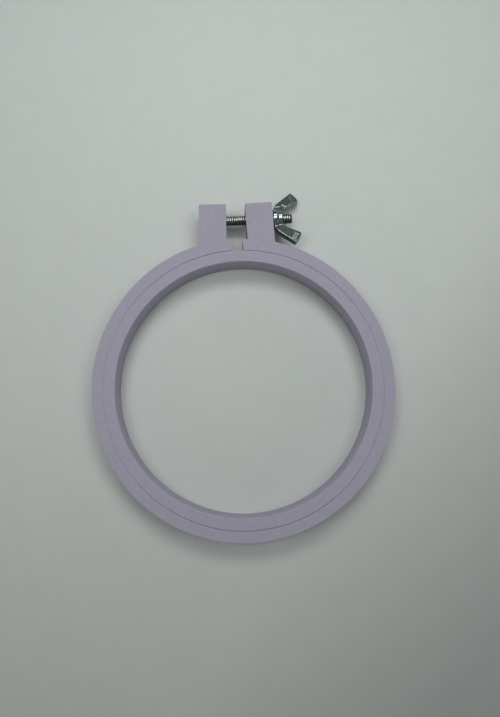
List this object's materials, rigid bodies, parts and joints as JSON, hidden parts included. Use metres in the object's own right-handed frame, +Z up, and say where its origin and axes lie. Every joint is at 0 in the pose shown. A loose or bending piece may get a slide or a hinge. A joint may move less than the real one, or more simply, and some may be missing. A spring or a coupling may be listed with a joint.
{
  "type": "embroidery hoop",
  "caption": "Round embroidery hoop: a plain inner ring held in a split outer ring whose lugs are drawn together by a bolt and a wing nut.",
  "frame": {"origin": "middle of the footprint of the whole part, on the table that the hoop lies on", "axes": "+Z up, along the axis of both rings; +Y from the rings' centre to the lugs and the bolt; +X along the bolt towards the wing nut"},
  "size_m": [0.1082, 0.129, 0.01],
  "materials": {
    "ring_plastic": "matte printed plastic with a fine grain, pale greyish lavender",
    "bolt_steel": "zinc-plated steel, rolled thread",
    "nut_zinc": "bright zinc plate over a forged body"
  },
  "bodies": {
    "ring_right": {"outer_ring_right": "ring_plastic"},
    "ring_left": {"outer_ring_left": "ring_plastic"},
    "inner_ring": {"inner_ring": "ring_plastic"},
    "bolt": {"clamp_bolt": "bolt_steel"},
    "nut": {"wing_nut": "nut_zinc"}
  },
  "joints": [
    {"name": "nut_turn", "type": "hinge", "parent": "ring_right", "child": "nut", "pos_m": [0.01417, 0.05312, 0.005], "axis": [1, 0, 0], "range_deg": [0, 1800]},
    {"name": "bolt_travel", "type": "slide", "parent": "ring_right", "child": "bolt", "axis": [-1, 0, 0], "range_m": [0, 0.0035]},
    {"name": "ring_opening", "type": "hinge", "parent": "ring_right", "child": "ring_left", "pos_m": [-0.00895, -0.06185, 0.005], "axis": [0, 0, 1], "range_deg": [0, 1.74]},
    {"name": "inner_ring_lift", "type": "slide", "parent": "ring_right", "child": "inner_ring", "axis": [0, 0, 1], "range_m": [0, 0.025]}
  ],
  "couplings": [
    {"joint": "bolt_travel", "follows": "nut_turn", "m_per_rad": 0.00011141},
    {"joint": "ring_opening", "follows": "nut_turn", "ratio": 0.00096896}
  ]
}
